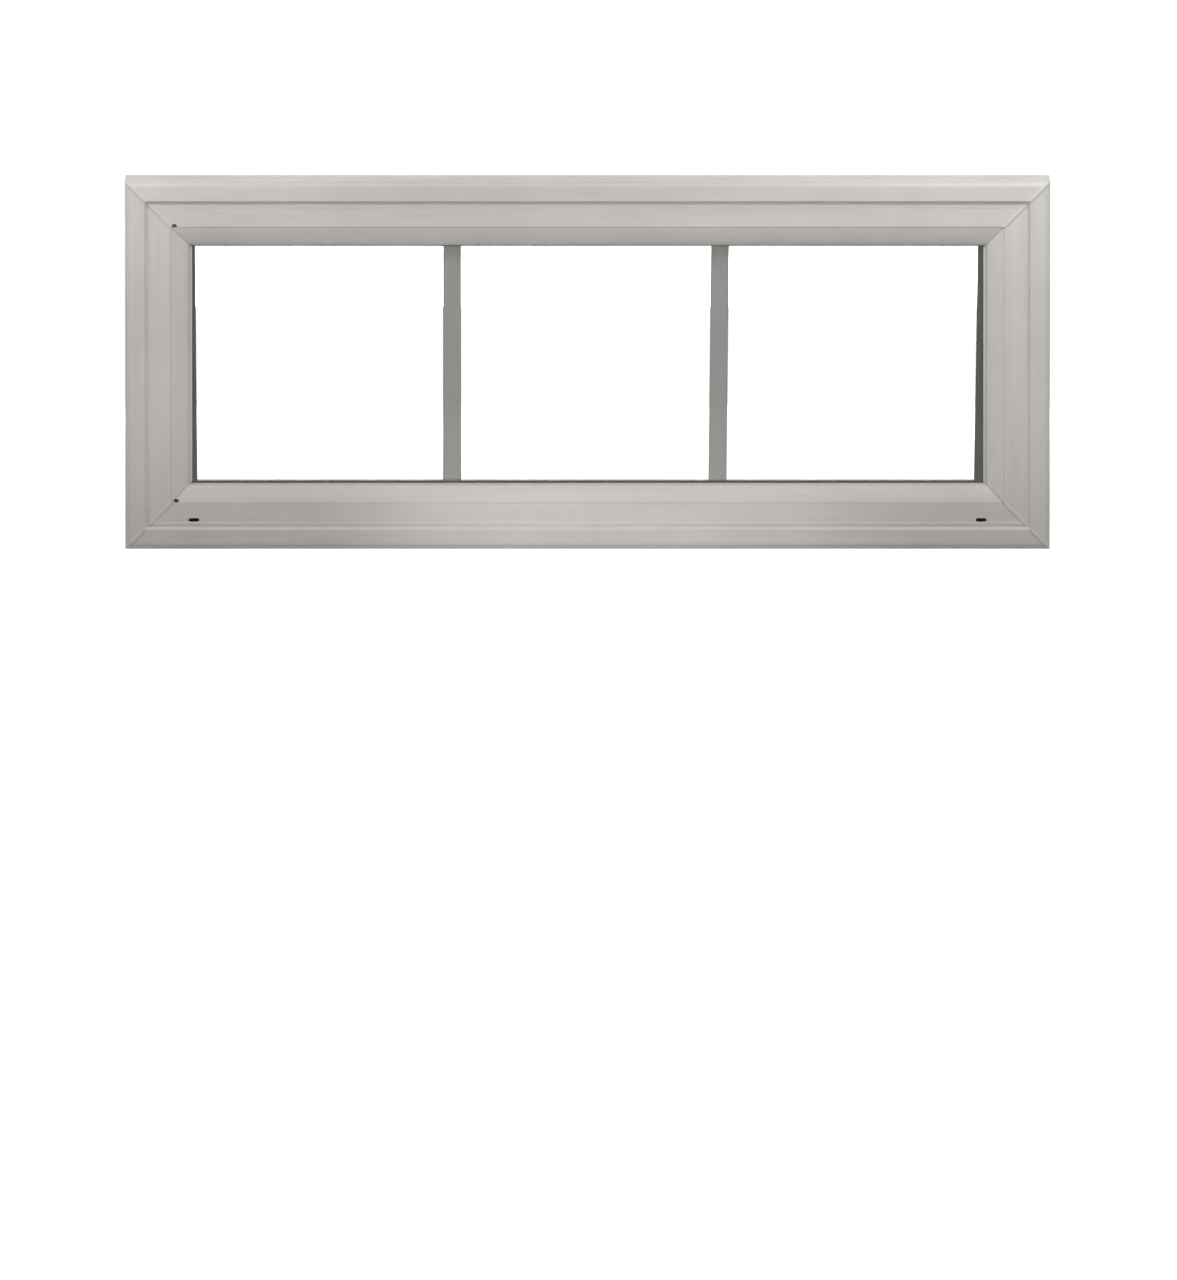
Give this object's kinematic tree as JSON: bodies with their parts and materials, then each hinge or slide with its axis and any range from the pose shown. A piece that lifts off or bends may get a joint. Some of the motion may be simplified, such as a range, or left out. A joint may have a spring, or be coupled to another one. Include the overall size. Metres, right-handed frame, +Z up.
{
  "type": "fixed transom window",
  "caption": "Low, wide fixed window: a welded white vinyl frame holds a sealed double-glazed unit that upright bars divide into lights.",
  "frame": {"origin": "under the middle of the sill, half-way through the depth of the frame, on the plane the sill stands on", "axes": "+X along the width, to the right as seen from outside; +Y from outside to inside; +Z up"},
  "size_m": [0.908, 0.0826, 0.362],
  "materials": {
    "vinyl": "satin white extruded vinyl, faintly grained, with cleaned welds",
    "glass": "clear float glass",
    "soft_lip": "matt light grey flexible vinyl",
    "tape": "matt light grey foam",
    "sealant": "matt black sealant",
    "spacer": "matt dark bronze",
    "bar": "satin white paint",
    "clip": "moulded plastic",
    "block": "hard black plastic"
  },
  "bodies": {
    "root": {"frame_head": "vinyl", "frame_sill": "vinyl", "frame_jamb_left": "vinyl", "frame_jamb_right": "vinyl", "glazing_bead_head": "vinyl", "glazing_bead_sill": "vinyl", "glazing_bead_left": "vinyl", "glazing_bead_right": "vinyl", "bead_lip_head": "soft_lip", "bead_lip_sill": "soft_lip", "bead_lip_left": "soft_lip", "bead_lip_right": "soft_lip", "glazing_tape_head": "tape", "glazing_tape_sill": "tape", "glazing_tape_left": "tape", "glazing_tape_right": "tape", "glass_outside": "glass", "glass_inside": "glass", "edge_seal_head": "sealant", "edge_seal_sill": "sealant", "edge_seal_left": "sealant", "edge_seal_right": "sealant", "spacer_head": "spacer", "spacer_sill": "spacer", "spacer_left": "spacer", "spacer_right": "spacer", "bar_left": "bar", "bar_right": "bar", "bar_clip_left_head": "clip", "bar_clip_left_sill": "clip", "bar_clip_right_head": "clip", "bar_clip_right_sill": "clip", "setting_block_left": "block", "setting_block_right": "block", "edge_block_left": "block", "edge_block_right": "block", "screw_cap_left_lower": "vinyl", "screw_cap_left_upper": "vinyl", "screw_cap_right_lower": "vinyl", "screw_cap_right_upper": "vinyl"}
  },
  "joints": []
}
